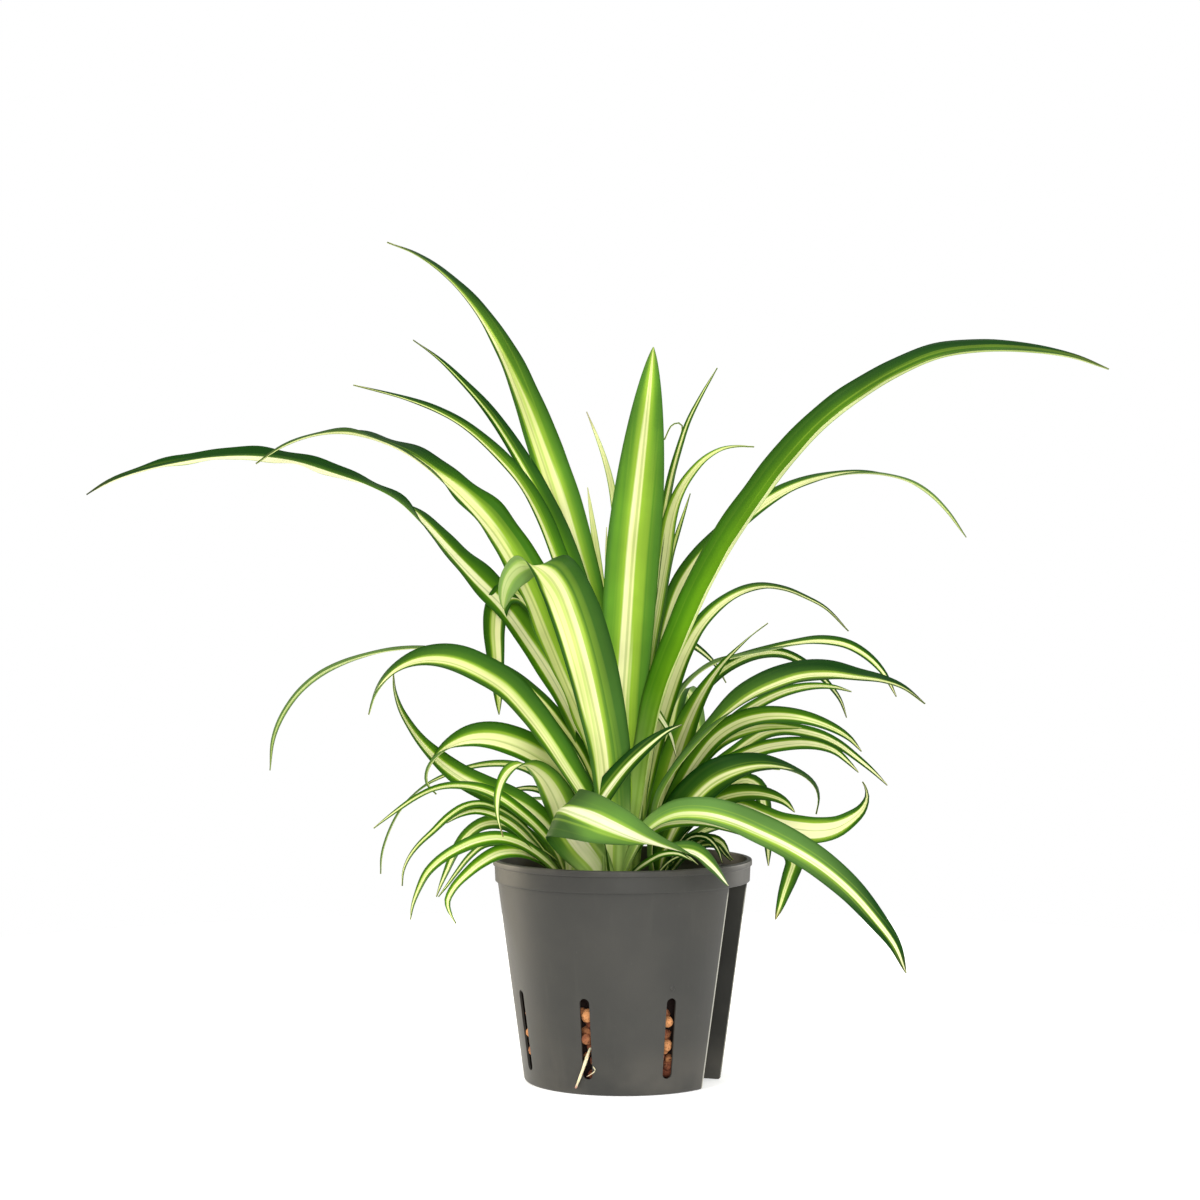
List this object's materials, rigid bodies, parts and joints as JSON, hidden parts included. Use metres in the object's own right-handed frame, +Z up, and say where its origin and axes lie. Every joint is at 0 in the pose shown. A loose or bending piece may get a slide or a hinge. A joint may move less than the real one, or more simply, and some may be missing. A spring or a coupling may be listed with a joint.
{
  "type": "potted spider plant",
  "caption": "Green-and-cream spider plant with long arching channelled leaves, in a round grey slotted culture pot filled with clay pebbles, with a gauge channel in its side.",
  "frame": {"origin": "middle of the pot's flat underside, on its axis", "axes": "+Z up along the pot's axis; the best side looks along -Y; +X is to that side's right"},
  "size_m": [0.5134, 0.2661, 0.4252],
  "materials": {
    "pot_plastic": "satin",
    "clay": "rough",
    "root": "satin",
    "leaf": "waxy"
  },
  "bodies": {
    "root": {"pot": "pot_plastic", "clay_pebbles": "clay", "root_strand": "root", "shoot_front": "leaf", "shoot_left": "leaf", "shoot_centre": "leaf", "shoot_right": "leaf", "shoot_back_right": "leaf", "shoot_back": "leaf"}
  },
  "joints": []
}
